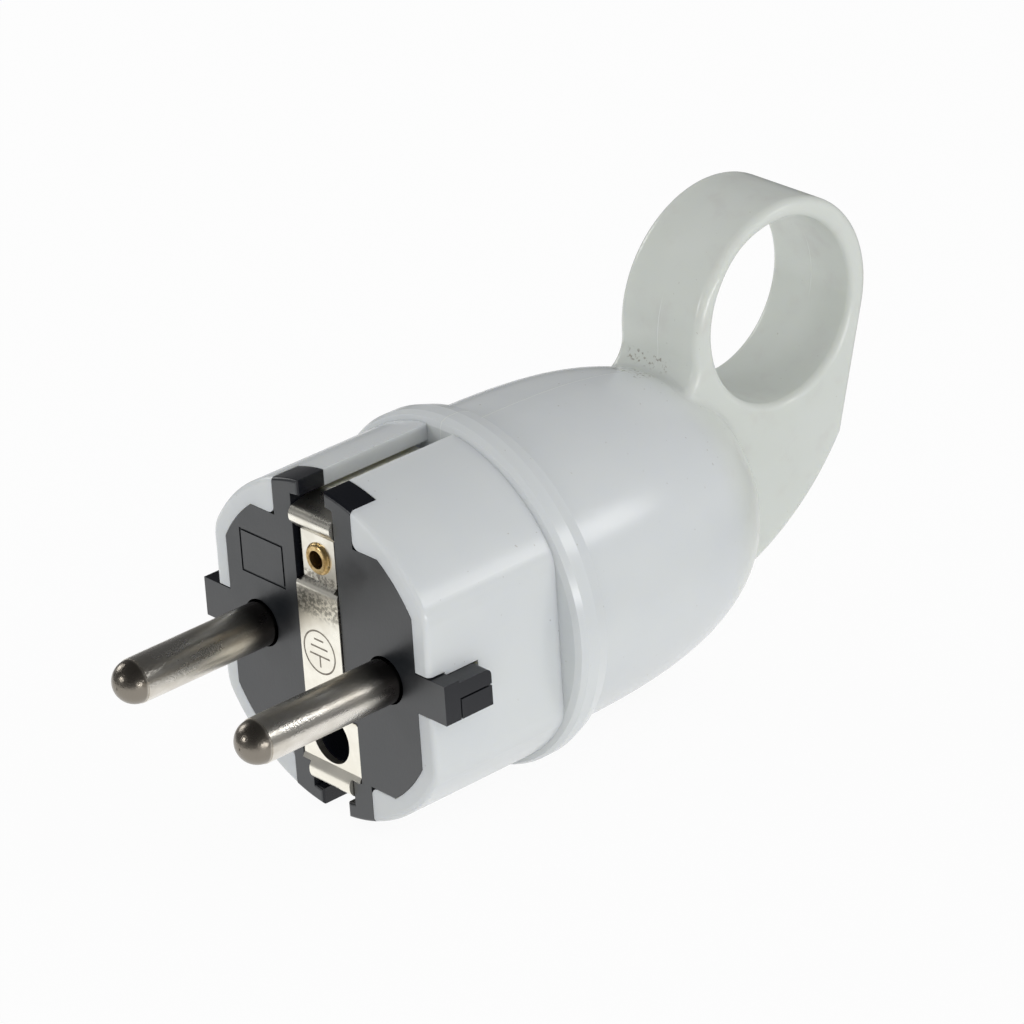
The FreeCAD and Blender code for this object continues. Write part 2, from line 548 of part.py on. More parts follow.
def cut_along(body, name, outlines, start, end):
    sketch = new_sketch(body, name + "_sketch", "XZ_Plane", flip(start, -1))
    draw(sketch, outlines)
    pocket = body.newObject("PartDesign::Pocket", name)
    pocket.Profile = sketch
    pocket.setExpression("Length", f"{formula(end)} - ({formula(start)})")
    CUTS.append(pocket)
    return pocket


def cut_up(body, name, outlines, start, end):
    """A pocket along +Z, drawn on the XY plane."""
    sketch = new_sketch(body, name + "_sketch", "XY_Plane", start)
    draw(sketch, outlines)
    pocket = body.newObject("PartDesign::Pocket", name)
    pocket.Profile = sketch
    pocket.Reversed = True
    pocket.setExpression("Length", f"{formula(end)} - ({formula(start)})")
    CUTS.append(pocket)
    return pocket


def pad_across(body, name, corners, start, end):
    """A pad along +X, drawn on the YZ plane."""
    sketch = new_sketch(body, name + "_sketch", "YZ_Plane", start)
    draw(sketch, [corners])
    pad = body.newObject("PartDesign::Pad", name)
    pad.Profile = sketch
    pad.setExpression("Length", f"{formula(end)} - ({formula(start)})")
    return pad


def turn(body, name, corners, axis, plane="YZ_Plane"):
    """A turned solid from half its section, about the sketch's own axis."""
    sketch = new_sketch(body, name + "_sketch", plane)
    draw(sketch, [corners])
    revolution = body.newObject("PartDesign::Revolution", name)
    revolution.Profile = sketch
    revolution.ReferenceAxis = (sketch, [axis])
    revolution.Angle = 360.0
    return revolution


def round_edges(body, name, radius, wanted):
    """Fillet the edges of the body's last feature for which wanted(edge) is true."""
    doc.recompute()
    base = body.Tip
    names = []
    for index, edge in enumerate(base.Shape.Edges, start=1):
        if wanted(edge):
            names.append(f"Edge{index}")
    fillet = body.newObject("PartDesign::Fillet", name)
    fillet.Base = (base, names)
    fillet.setExpression("Radius", formula(radius))
    return fillet


# Front shell

def make_front_shell():
    body = new_body("front_shell")
    outer = round_flat_corners("shell_radius", "shell_half_flat", "shell_flat_end")
    pad_along(body, "shell_tube", [outer], 0.0, "shell_depth")
    round_edges(body, "shell_flat_blends", "flat_blend",
                lambda edge: edge.BoundBox.YLength > number("shell_depth") / 2)
    round_edges(body, "shell_rim", "shell_edge", lambda edge: edge.BoundBox.YMax < NEAR)
    spigot = round_flat_corners("spigot_radius", "spigot_half_flat", "spigot_flat_end")
    pad_along(body, "shell_spigot", [spigot], "shell_depth", "spigot_end")
    cavity = carrier_corners("cavity_radius", "cavity_half_flat", "cavity_flat_end",
                             "cavity_half_height", "cavity_roof_end")
    cut_along(body, "shell_cavity", [cavity], 0.0, "ledge_depth")
    opening = round_flat_corners("ledge_radius", "ledge_half_flat", "ledge_flat_end")
    cut_along(body, "shell_opening", [opening], "ledge_depth", "spigot_end")
    windows = []
    contacts = []
    for side in (1, -1):
        windows.append([
            ("window_foot", flip("window_base", side)),
            ("window_foot", flip("cavity_half_height", side), "window_corner", -side),
            ("window_half", flip("window_foot_top", side)),
            ("window_half", flip("outside", side)),
            ("-window_half", flip("outside", side)),
            ("-window_half", flip("window_foot_top", side), "window_corner", -side),
            ("-window_foot", flip("cavity_half_height", side)),
            ("-window_foot", flip("window_base", side)),
        ])
        contacts.append([
            ("channel_half", flip("contact_floor", side)),
            ("channel_half", flip("contact_roof", side)),
            ("groove_half", flip("contact_roof", side)),
            ("groove_half", flip("outside", side)),
            ("-groove_half", flip("outside", side)),
            ("-groove_half", flip("contact_roof", side)),
            ("-channel_half", flip("contact_roof", side)),
            ("-channel_half", flip("contact_floor", side)),
        ])
    cut_along(body, "horn_windows", windows, 0.0, "window_depth")
    cut_along(body, "earth_grooves", contacts, "horn_depth", "groove_end")
    for name, top, end in (("side_slots", "slot_finger_top", "slot_depth"),
                           ("slot_mouths", "slot_top", "slot_mouth_end")):
        slots = [
            box_corners("tongue_inner", "outside", "-slot_bottom", top),
            box_corners("-outside", "-tongue_inner", "-slot_bottom", top),
        ]
        cut_along(body, name, slots, 0.0, end)


# Contact carrier

def make_contact_carrier():
    body = new_body("contact_carrier")
    outline = carrier_corners("carrier_radius", "carrier_half_flat", "carrier_flat_end",
                              "carrier_half_height", "carrier_roof_end")
    inside = carrier_corners("skirt_radius", "skirt_half_flat", "skirt_flat_end",
                             "skirt_half_height", "skirt_roof_end")
    pad_along(body, "plate", [outline], 0.0, "plate_thick")
    pad_along(body, "skirt", [outline, inside], "plate_thick", "cover_start")
    horns = []
    for side in (1, -1):
        for up in (1, -1):
            horns.append([
                (flip("channel_half", side), flip("horn_root", up)),
                (flip("horn_half", side), flip("horn_root", up)),
                (flip("horn_half", side), flip("horn_outer_top", up), "horn_radius", side * up),
                (flip("horn_lip_half", side), flip("horn_inner_top", up)),
                (flip("horn_lip_half", side), flip("horn_lip_height", up)),
                (flip("channel_half", side), flip("horn_lip_root", up)),
            ])
    pad_along(body, "horns", horns, 0.0, "horn_depth")

    def is_horn_edge(edge):
        box = edge.BoundBox
        beyond = min(abs(box.ZMin), abs(box.ZMax)) > number("carrier_half_height") + 0.1
        return box.YMax < NEAR and beyond

    round_edges(body, "horn_rounding", "horn_edge", is_horn_edge)
    for side in (1, -1):
        name = "right" if side > 0 else "left"
        profile = [
            (0.0, "-arm_foot"),
            ("arm_front", "-arm_foot"),
            ("arm_front", "seam_over"),
            ("arm_back", "seam_over"),
            ("arm_back", "arm_curve_top", "arm_round", 1),
            ("arm_curve_start", "arm_finger_top"),
            ("arm_front", "arm_finger_top"),
            ("arm_front", "arm_top"),
            (0.0, "arm_top"),
        ]
        span = ("arm_root", "arm_reach") if side > 0 else ("-arm_reach", "-arm_root")
        pad_across(body, "arm_" + name, profile, span[0], span[1])
    bosses = [(flip("pin_offset", side), 0.0, "boss_radius") for side in (1, -1)]
    pad_along(body, "pin_bosses", bosses, "plate_thick", "cover_start")
    tube = [
        ("screw_tube_half", "-skirt_half_height"),
        ("screw_tube_half", "-screw_height", "screw_tube_half", 1),
        ("-screw_tube_half", "-screw_height"),
        ("-screw_tube_half", "-skirt_half_height"),
    ]
    pad_along(body, "screw_tube", [tube], "plate_thick", "cover_start")
    for side in (1, -1):
        name = "right" if side > 0 else "left"
        across = flip("pin_offset", side)
        cut_along(body, "pin_bore_" + name, [(across, 0.0, "pin_bore_radius")], 0.0, "cover_start")
        cut_along(body, "pin_body_bore_" + name, [(across, 0.0, "pin_body_bore_radius")],
                  "pin_neck_depth", "cover_start")
        cut_along(body, "pin_flange_bore_" + name, [(across, 0.0, "pin_flange_bore_radius")],
                  "flange_start", "cover_start")
        notch = ("notch_inner", "outside") if side > 0 else ("-outside", "-notch_inner")
        cut_along(body, "tongue_notch_" + name,
                  [box_corners(notch[0], notch[1], "-slot_bottom", "arm_seam")],
                  "arm_front", "cover_start")
    cut_along(body, "screw_access", [(0.0, "-screw_height", "access_radius")], 0.0, "screw_seat")
    cut_along(body, "screw_hole", [(0.0, "-screw_height", "screw_hole_radius")],
              "screw_seat", "cover_start")
    cut_along(body, "rivet_hole", [(0.0, "rivet_height", "rivet_hole_radius")], 0.0, "plate_thick")
    notch = box_corners("-leg_window_half", "leg_window_half", "rivet_height", "terminal_notch_top")
    cut_along(body, "terminal_notch", [notch], "plate_thick", "terminal_notch_end")
    neck = box_corners("-channel_half", "channel_half", "neck_floor_end", "horn_lip_root")
    cut_along(body, "neck_channel", [neck], 0.0, "neck_back")
    flat = box_corners("-channel_half", "channel_half", "-foot_floor_start", "neck_floor_end")
    cut_along(body, "flat_channel", [flat], 0.0, "flat_back")
    foot = [
        ("-channel_half", "-foot_floor_start"),
        ("-channel_half", "-foot_height"),
        ("-foot_pocket_half", "-foot_height"),
        ("-foot_pocket_half", "-foot_pocket_end"),
        ("foot_pocket_half", "-foot_pocket_end"),
        ("foot_pocket_half", "-foot_height"),
        ("channel_half", "-foot_height"),
        ("channel_half", "-foot_floor_start"),
    ]
    cut_along(body, "foot_channel", [foot], 0.0, "foot_back")
    frame = [
        box_corners("-frame_left", "-frame_right", "frame_bottom", "frame_top"),
        box_corners("-inner_frame_left", "-inner_frame_right",
                    "inner_frame_bottom", "inner_frame_top"),
    ]
    cut_along(body, "face_frame", frame, 0.0, "frame_cut")


# Cover behind the carrier, with the tongues and lugs that lock the two together

def make_carrier_cover():
    body = new_body("carrier_cover")
    outline = carrier_corners("carrier_radius", "carrier_half_flat", "carrier_flat_end",
                              "carrier_half_height", "carrier_roof_end")
    pad_along(body, "cover_plate", [outline], "cover_start", "ledge_depth")
    for side in (1, -1):
        name = "right" if side > 0 else "left"
        tongue = ("tongue_inner", "tongue_outer") if side > 0 else ("-tongue_outer", "-tongue_inner")
        lug = ("tongue_inner", "arm_reach") if side > 0 else ("-arm_reach", "-tongue_inner")
        pad_along(body, "tongue_" + name, [box_corners(tongue[0], tongue[1], "-arm_foot", "seam_under")],
                  "lug_front", "cover_start")
        pad_along(body, "lug_" + name, [box_corners(lug[0], lug[1], "-arm_foot", "seam_under")],
                  "lug_front", "arm_back")
    holes = [(flip("pin_offset", side), 0.0, "barrel_hole_radius") for side in (1, -1)]
    holes.append((0.0, "-screw_height", "screw_hole_radius"))
    holes.append(box_corners("-leg_window_half", "leg_window_half",
                             "leg_window_bottom", "leg_window_top"))
    cut_along(body, "cover_holes", holes, "cover_start", "ledge_depth")


# Pins

def make_pin(label, side):
    body = new_body(label, flip("pin_offset", side))
    profile = [
        ("pin_tip_place", 0.0, "pin_tip_radius", -1),
        ("pin_crease_place", "pin_tip_radius"),
        ("pin_crease_place", "pin_radius"),
        ("pin_neck_front", "pin_radius"),
        ("pin_neck_front", "pin_neck_radius"),
        ("pin_neck_depth", "pin_neck_radius"),
        ("pin_neck_depth", "pin_body_radius"),
        ("flange_start", "pin_body_radius"),
        ("flange_start", "pin_flange_radius"),
        ("cover_start", "pin_flange_radius"),
        ("cover_start", "barrel_radius"),
        ("barrel_end", "barrel_radius"),
        ("barrel_end", 0.0),
    ]
    turn(body, label + "_turned", profile, "H_Axis")
    cut_along(body, label + "_wire_hole", [(0.0, 0.0, "wire_radius")], "wire_start", "barrel_end")
    cut_up(body, label + "_screw_hole", [(0.0, "clamp_screw_place", "small_screw_radius")],
           0.0, "barrel_radius")


# Screws: a cheese head with a driver slot on a plain shank

def make_upright_screw(label, place_x, place_y, heights, shank_radius, head_radius):
    """Heights of the tip, the seat, the slot's floor and the head's top."""
    tip, seat, slot_floor, top = heights
    body = new_body(label, place_x)
    body.setExpression("Placement.Base.y", f"dims.place_y + {formula(place_y)}")
    section = [(0.0, tip), (shank_radius, tip), (shank_radius, seat),
               (head_radius, seat), (head_radius, top), (0.0, top)]
    turn(body, label + "_turned", section, "V_Axis", "XZ_Plane")
    slot = box_corners("-outside", "outside", "-half_slot", "half_slot")
    cut_up(body, label + "_slot", [slot], slot_floor, top)


def make_level_screw(label, place_x, height, depths, shank_radius, head_radius):
    """Depths of the head's front, the slot's floor, the seat and the tip."""
    front, slot_floor, seat, tip = depths
    body = new_body(label, place_x)
    body.setExpression("Placement.Base.z", f"dims.place_z + {formula(height)}")
    section = [(front, 0.0), (front, head_radius), (seat, head_radius),
               (seat, shank_radius), (tip, shank_radius), (tip, 0.0)]
    turn(body, label + "_turned", section, "H_Axis")
    slot = box_corners("-outside", "outside", "-half_slot", "half_slot")
    cut_along(body, label + "_slot", [slot], front, slot_floor)


# Folded sheet: an open path with rounded corners and a section swept along it

def rounded_path(sketch, corners):
    """Line and arc path in the sketch. A corner is (x, y, radius)."""
    spots = [FreeCAD.Vector(number(corner[0]), number(corner[1]), 0) for corner in corners]
    place = spots[0]
    pieces = []
    for index in range(1, len(corners) - 1):
        back = (spots[index - 1] - spots[index]).normalize()
        ahead = (spots[index + 1] - spots[index]).normalize()
        half_angle = back.getAngle(ahead) / 2
        radius = number(corners[index][2])
        reach = radius / math.tan(half_angle)
        first = spots[index] + back * reach
        last = spots[index] + ahead * reach
        bend = 1 if back.cross(ahead).z < 0 else -1
        pieces.append(Part.LineSegment(place, first))
        pieces.append(arc_between(first, last, radius, bend))
        place = last
    pieces.append(Part.LineSegment(place, spots[-1]))
    for piece in pieces:
        geometry = sketch.addGeometry(piece)
        sketch.addConstraint(Sketcher.Constraint("Block", geometry))


def sweep_sheet(body, name, path, section, start):
    """Sweep a rectangle, drawn across the plug at one depth, along a path in its middle plane."""
    route = new_sketch(body, name + "_path", "YZ_Plane")
    rounded_path(route, path)
    profile = new_sketch(body, name + "_section", "XZ_Plane", flip(start, -1))
    draw(profile, [section])
    pipe = body.newObject("PartDesign::AdditivePipe", name)
    pipe.Profile = profile
    pipe.Spine = (route, [])
    pipe.Mode = "Frenet"
    return pipe


def make_earth_strap():
    body = new_body("earth_strap")
    path = [
        ("contact_end", "contact_middle", 0.0),
        ("ramp_end", "contact_middle", "ramp_bend"),
        ("-top_roll_front", "top_roll_height", "top_roll_bend"),
        ("-top_roll_front", "top_roll_end", "strap_bend"),
        ("neck_middle", "neck_start", "strap_bend"),
        ("neck_middle", "step_top", "strap_bend"),
        ("flat_middle", "step_bottom", "strap_bend"),
        ("flat_middle", "-foot_bend_top", "strap_bend"),
        ("foot_middle", "-foot_bend_bottom", "strap_bend"),
        ("foot_middle", "-foot_end", "strap_bend"),
        ("-bottom_roll_front", "-bottom_roll_start", "strap_bend"),
        ("-bottom_roll_front", "-bottom_roll_height", "bottom_roll_bend"),
        ("ramp_end", "-contact_middle", "ramp_bend"),
        ("contact_end", "-contact_middle", 0.0),
    ]
    section = box_corners("-strap_foot_half", "strap_foot_half", "contact_inner", "contact_height")
    sweep_sheet(body, "strap_sheet", path, section, "contact_end")
    trims = []
    for side in (1, -1):
        wide = flip("outside", side)
        trims.append([
            (wide, "-foot_height"),
            (wide, "outside"),
            (flip("strap_half", side), "outside"),
            (flip("strap_half", side), "neck_start"),
            (flip("strap_neck_half", side), "neck_start"),
            (flip("strap_neck_half", side), "step_height"),
            (flip("strap_half", side), "step_height"),
            (flip("strap_half", side), "-foot_height"),
        ])
        trims.append(box_corners(flip("strap_half", side), wide, "-outside", "-foot_edge"))
    cut_along(body, "strap_trim", trims, "-outside", "outside")
    holes = [
        (0.0, "rivet_height", "rivet_hole_radius"),
        (0.0, "-screw_height", "access_radius"),
    ]
    cut_along(body, "strap_holes", holes, "-outside", "outside")


def make_strap_rivet():
    body = new_body("strap_rivet")
    body.setExpression("Placement.Base.z", "dims.place_z + dims.rivet_height")
    section = [
        ("rivet_front", "rivet_bore_radius"),
        ("rivet_front", "rivet_head_edge", "rivet_head_curve", -1),
        ("strap_neck_sink", "rivet_head_radius"),
        ("strap_neck_sink", "rivet_hole_radius"),
        ("rivet_back", "rivet_hole_radius"),
        ("rivet_back", "rivet_rolled_radius"),
        ("rivet_end", "rivet_rolled_radius"),
        ("rivet_end", "rivet_bore_radius"),
    ]
    turn(body, "rivet_turned", section, "H_Axis")


def make_earth_terminal():
    body = new_body("earth_terminal")
    path = [
        ("terminal_leg_end", "terminal_leg_middle", 0.0),
        ("terminal_foot_middle", "terminal_leg_middle", "terminal_bend"),
        ("terminal_foot_middle", "terminal_foot_top", 0.0),
    ]
    section = box_corners("-terminal_half", "terminal_half", "terminal_leg_height", "terminal_leg_top")
    sweep_sheet(body, "terminal_sheet", path, section, "terminal_leg_end")
    cut_along(body, "terminal_rivet_hole", [(0.0, "rivet_height", "rivet_hole_radius")],
              "plate_thick", "rivet_back")
    cut_up(body, "terminal_screw_hole", [(0.0, "earth_screw_place", "large_screw_radius")],
           "terminal_leg_height", "terminal_leg_top")


def make_clamp_washer():
    body = new_body("earth_clamp_washer")
    body.setExpression("Placement.Base.y", "dims.place_y + dims.earth_screw_place")
    sketch = new_sketch(body, "clamp_washer_sketch", "XY_Plane", "terminal_leg_top")
    draw(sketch, [
        box_corners("-clamp_washer_half", "clamp_washer_half",
                    "-clamp_washer_half", "clamp_washer_half"),
        (0.0, 0.0, "large_screw_radius"),
    ])
    pad = body.newObject("PartDesign::Pad", "clamp_washer")
    pad.Profile = sketch
    pad.setExpression("Length", "dims.clamp_washer_thick")


# Rings on the assembly screw

def make_ring(label, radius, start, end):
    body = new_body(label)
    body.setExpression("Placement.Base.z", "dims.place_z - dims.screw_height")
    circles = [(0.0, 0.0, radius), (0.0, 0.0, "large_screw_radius")]
    pad_along(body, label + "_ring", circles, start, end)


# Cord clamp: a bar with rounded ends and a hollow for the cord

def make_cord_clamp():
    body = new_body("cord_clamp")
    bar = [
        ("-clamp_end_middle", "clamp_bottom"),
        ("clamp_end_middle", "clamp_bottom", "clamp_half_height", 1),
        ("clamp_end_middle", "clamp_top"),
        ("-clamp_end_middle", "clamp_top", "clamp_half_height", 1),
    ]
    pad_along(body, "clamp_bar", [bar], "clamp_start", "post_place")
    cut_up(body, "clamp_saddle", [(0.0, "saddle_middle", "saddle_radius")],
           "-outside", "outside")
    holes = [(flip("post_offset", side), "-post_height", "small_screw_radius") for side in (1, -1)]
    cut_along(body, "clamp_holes", holes, "clamp_start", "post_place")


def make_inlet_bush():
    body = new_body("inlet_bush")
    body.setExpression("Placement.Base.y", "dims.place_y + dims.inlet_place")
    section = [
        ("cable_radius", "bush_bottom"),
        ("inlet_radius", "bush_bottom"),
        ("inlet_radius", "-inlet_seat"),
        ("bush_flange_radius", "-inlet_seat"),
        ("bush_flange_radius", "bush_top"),
        ("cable_radius", "bush_top"),
    ]
    turn(body, "bush_turned", section, "V_Axis", "XZ_Plane")


# Rear housing: collar, dome, pull ring and web in one moulding

def dome_curve(wall):
    """Curve of the dome from its start to the plug's axis, less the wall."""
    length = number("dome_length") - wall
    radius = number("dome_radius") - wall
    points = []
    steps = 24
    for step in range(steps + 1):
        angle = math.pi / 2 * step / steps
        along = number("dome_start") + length * math.sin(angle) ** (2 / number("dome_side_power"))
        across = radius * math.cos(angle) ** (2 / number("dome_top_power"))
        points.append(FreeCAD.Vector(along, across, 0))
    points[-1].y = 0.0
    curve = Part.BSplineCurve()
    curve.interpolate(points, InitialTangent=FreeCAD.Vector(1, 0, 0),
                      FinalTangent=FreeCAD.Vector(0, -1, 0))
    return curve


def dome_radius_at(along):
    """Radius of the dome at a depth behind the face, 0 beyond its ends."""
    share = (along - number("dome_start")) / number("dome_length")
    if share < 0 or share > 1:
        return 0.0
    power = 1 / number("dome_top_power")
    return number("dome_radius") * (1 - share ** number("dome_side_power")) ** power


def dome_sketch(body, name, wall, front):
    """Half section of the dome, closed by the lines in front, which end at its curve."""
    sketch = new_sketch(body, name, "YZ_Plane")
    curve = dome_curve(wall)
    spots = [FreeCAD.Vector(number(across), number(up), 0) for across, up in front]
    spots.append(curve.StartPoint)
    pieces = [curve, Part.LineSegment(curve.EndPoint, spots[0])]
    for first, last in zip(spots, spots[1:]):
        pieces.append(Part.LineSegment(first, last))
    for piece in pieces:
        geometry = sketch.addGeometry(piece)
        sketch.addConstraint(Sketcher.Constraint("Block", geometry))
    return sketch


def revolve_about_plug(body, name, sketch):
    revolution = body.newObject("PartDesign::Revolution", name)
    revolution.Profile = sketch
    revolution.ReferenceAxis = (sketch, ["H_Axis"])
    revolution.Angle = 360.0


def make_housing_cavity():
    """Space inside the dome. What is cut out of it stays as posts, tower and block."""
    body = new_body("housing_cavity", placed=False)
    sketch = dome_sketch(body, "cavity_section", number("housing_wall"), [("dome_start", 0.0)])
    revolve_about_plug(body, "cavity_space", sketch)
    cut_along(body, "cavity_front", [(0.0, 0.0, "outside")], "dome_start", "cavity_start")
    rib = [
        ("-tower_rib_half", "-outside"),
        ("tower_rib_half", "-outside"),
        ("tower_rib_half", "-screw_height"),
        ("-tower_rib_half", "-screw_height"),
    ]
    cut_along(body, "tower", [(0.0, "-screw_height", "tower_radius")], "tower_start", "tower_end")
    cut_along(body, "tower_rib", [rib], "tower_start", "tower_end")
    posts = [(flip("post_offset", side), "-post_height", "post_radius") for side in (1, -1)]
    cut_along(body, "posts", posts, "post_place", "dome_end")
    block = box_corners("-anvil_half", "anvil_half", "clamp_bottom", "clamp_top")
    cut_along(body, "cord_block", [block], "anvil_start", "dome_end")
    cut_up(body, "inlet_boss", [(0.0, "inlet_place", "inlet_boss_radius")],
           "-outside", "-inlet_seat")
    return body


def make_rear_housing():
    cavity = make_housing_cavity()
    body = new_body("rear_housing")
    ring = new_sketch(body, "ring_section", "YZ_Plane", "-ring_half")
    draw_ring(ring)
    pad = body.newObject("PartDesign::Pad", "ring")
    pad.Profile = ring
    pad.setExpression("Length", "2 * dims.ring_half")

    front = [
        ("shell_depth", 0.0),
        ("shell_depth", "collar_front_radius"),
        ("collar_edge_mid_place", "collar_edge_mid_radius"),
        ("collar_edge_end", "collar_radius"),
        ("collar_slope_start", "collar_radius"),
        ("collar_back", "collar_back_radius"),
        ("collar_step_end", "dome_foot_radius"),
    ]
    dome = dome_sketch(body, "dome_section", 0.0, front)
    revolve_about_plug(body, "collar_and_dome", dome)

    def dome_gap(edge):
        """How far the middle of an edge lies outside the dome."""
        middle = edge.valueAt((edge.FirstParameter + edge.LastParameter) / 2)
        return math.hypot(middle.x, middle.z) - dome_radius_at(middle.y)

    def is_hole_edge(edge):
        whole_circle = edge.Curve.TypeId == "Part::GeomCircle" and edge.isClosed()
        return whole_circle and edge.BoundBox.YMin > number("collar_step_end") + 1

    def is_ring_edge(edge):
        box = edge.BoundBox
        on_side = box.XLength < NEAR and abs(box.XMax) > number("ring_half") / 2
        return on_side and dome_gap(edge) > NEAR and not is_hole_edge(edge)

    def is_root_edge(edge):
        box = edge.BoundBox
        beside = box.XLength > NEAR and box.YLength > NEAR
        return beside and box.YMin > number("collar_step_end") + 1 and abs(dome_gap(edge)) < NEAR

    round_edges(body, "ring_rounding", "ring_edge", is_ring_edge)
    round_edges(body, "ring_hole_rounding", "ring_hole_edge", is_hole_edge)
    round_edges(body, "ring_root_fillet", "ring_root", is_root_edge)
    doc.recompute()
    boolean = body.newObject("PartDesign::Boolean", "hollow")
    boolean.Type = "Cut"
    boolean.addObject(cavity)
    bore = round_flat_corners("bore_radius", "bore_half_flat", "bore_flat_end")
    cut_along(body, "spigot_bore", [bore], "shell_depth", "cavity_start")
    cut_along(body, "insert_hole", [(0.0, "-screw_height", "insert_radius")],
              "tower_start", "insert_end")
    holes = [(flip("post_offset", side), "-post_height", "small_screw_radius") for side in (1, -1)]
    cut_along(body, "post_holes", holes, "post_place", "post_hole_end")
    foot = box_corners("-outside", "outside", "-outside", "-collar_foot")
    cut_along(body, "collar_flat", [foot], "shell_depth", "collar_step_end")
    cut_up(body, "inlet_flat", [(0.0, "inlet_place", "inlet_face_radius")],
           "-outside", "-inlet_face")
    cut_up(body, "inlet_bore", [(0.0, "inlet_place", "inlet_radius")],
           "-outside", "-inlet_seat")


def draw_ring(sketch):
    """Oval outline of the ring with its leg and web, and the round finger hole."""
    middle = FreeCAD.Vector(number("ring_place"), number("ring_height"), 0)
    lean = math.radians(number("ring_lean"))
    long_axis = FreeCAD.Vector(math.cos(lean), math.sin(lean), 0)
    short_axis = FreeCAD.Vector(-math.sin(lean), math.cos(lean), 0)
    half_long = number("ring_long")
    half_short = number("ring_short")
    oval = Part.Ellipse(middle + long_axis * half_long, middle + short_axis * half_short, middle)

    def on_oval(angle):
        return middle + long_axis * (half_long * math.cos(angle)) \
            + short_axis * (half_short * math.sin(angle))

    web = FreeCAD.Vector(number("web_place"), number("web_height"), 0)
    away = web - middle
    far = complex(away.dot(long_axis) / half_long, away.dot(short_axis) / half_short)
    tangent = on_oval(math.atan2(far.imag, far.real) + math.acos(1 / abs(far)))
    leg = on_oval(math.pi - math.atan2(half_short * math.sin(lean), half_long * math.cos(lean)))
    flare = number("leg_flare")
    flare_top = leg - FreeCAD.Vector(0, number("leg_flare_drop"), 0)
    flare_middle = flare_top - FreeCAD.Vector(flare, 0, 0)
    flare_turn = math.radians(number("leg_flare_turn"))
    flare_end = flare_middle + FreeCAD.Vector(math.cos(flare_turn), -math.sin(flare_turn), 0) * flare
    inside = FreeCAD.Vector(number("dome_end") - number("dome_radius"), 0, 0)
    foot = FreeCAD.Vector(number("web_foot_place"), -number("web_foot_height"), 0)
    hole_middle = FreeCAD.Vector(middle.x, number("ring_hole_height"), 0)
    pieces = [
        Part.ArcOfEllipse(oval, oval.parameter(tangent), oval.parameter(leg)),
        Part.LineSegment(leg, flare_top),
        arc_between(flare_top, flare_end, flare, -1),
        Part.LineSegment(flare_end, inside),
        Part.LineSegment(inside, foot),
        arc_between(foot, web, number("web_curve"), 1),
        Part.LineSegment(web, tangent),
        Part.Circle(hole_middle, FreeCAD.Vector(0, 0, 1), number("ring_hole_radius")),
    ]
    for piece in pieces:
        geometry = sketch.addGeometry(piece)
        sketch.addConstraint(Sketcher.Constraint("Block", geometry))


# The whole plug

make_front_shell()
make_contact_carrier()
make_carrier_cover()
for side_name, side_sign in (("left", -1), ("right", 1)):
    make_pin("pin_" + side_name, side_sign)
    make_upright_screw("terminal_screw_" + side_name, flip("pin_offset", side_sign),
                       "clamp_screw_place",
                       ("terminal_screw_end", "barrel_radius", "terminal_slot_floor",
                        "terminal_head_top"),
                       "small_screw_radius", "small_head_radius")
    make_level_screw("cord_clamp_screw_" + side_name, flip("post_offset", side_sign),
                     "-post_height",
                     ("cord_head_front", "cord_slot_floor", "clamp_start", "cord_screw_end"),
                     "small_screw_radius", "small_head_radius")
make_earth_strap()
make_strap_rivet()
make_earth_terminal()
make_upright_screw("earth_screw", 0.0, "earth_screw_place",
                   ("earth_screw_end", "clamp_washer_top", "earth_slot_floor", "earth_head_top"),
                   "large_screw_radius", "large_head_radius")
make_clamp_washer()
make_level_screw("assembly_screw", 0.0, "-screw_height",
                 ("screw_head_place", "assembly_slot_floor", "screw_seat", "screw_end"),
                 "large_screw_radius", "large_head_radius")
make_ring("screw_retaining_washer", "washer_radius", "ledge_depth", "washer_end")
make_ring("threaded_insert", "insert_radius", "tower_start", "insert_end")
make_cord_clamp()
make_inlet_bush()
make_rear_housing()

NODES = [
    "rear_housing", "front_shell", "contact_carrier", "carrier_cover",
    "pin_left", "pin_right", "terminal_screw_left", "terminal_screw_right",
    "earth_strap", "strap_rivet", "earth_terminal", "earth_screw", "earth_clamp_washer",
    "assembly_screw", "screw_retaining_washer", "threaded_insert",
    "cord_clamp", "cord_clamp_screw_left", "cord_clamp_screw_right", "inlet_bush",
]

doc.recompute()


# Checks before anything is written

failed = [item.Label for item in doc.Objects if "Invalid" in item.State or "Error" in item.State]
if failed:
    raise RuntimeError(f"did not build: {failed}")
for cut in CUTS:
    if cut.BaseFeature.Shape.Volume - cut.Shape.Volume < 1e-4:
        raise RuntimeError(f"{cut.Label} removes nothing")

os.makedirs("parts", exist_ok=True)
for node in NODES:
    shape = doc.getObject(node).Shape
    if shape.isNull() or not shape.isValid() or len(shape.Solids) != 1:
        raise RuntimeError(f"{node} is not one valid solid")
for node in NODES:
    doc.getObject(node).Shape.exportStep(f"parts/{node}.step")
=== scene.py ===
import math

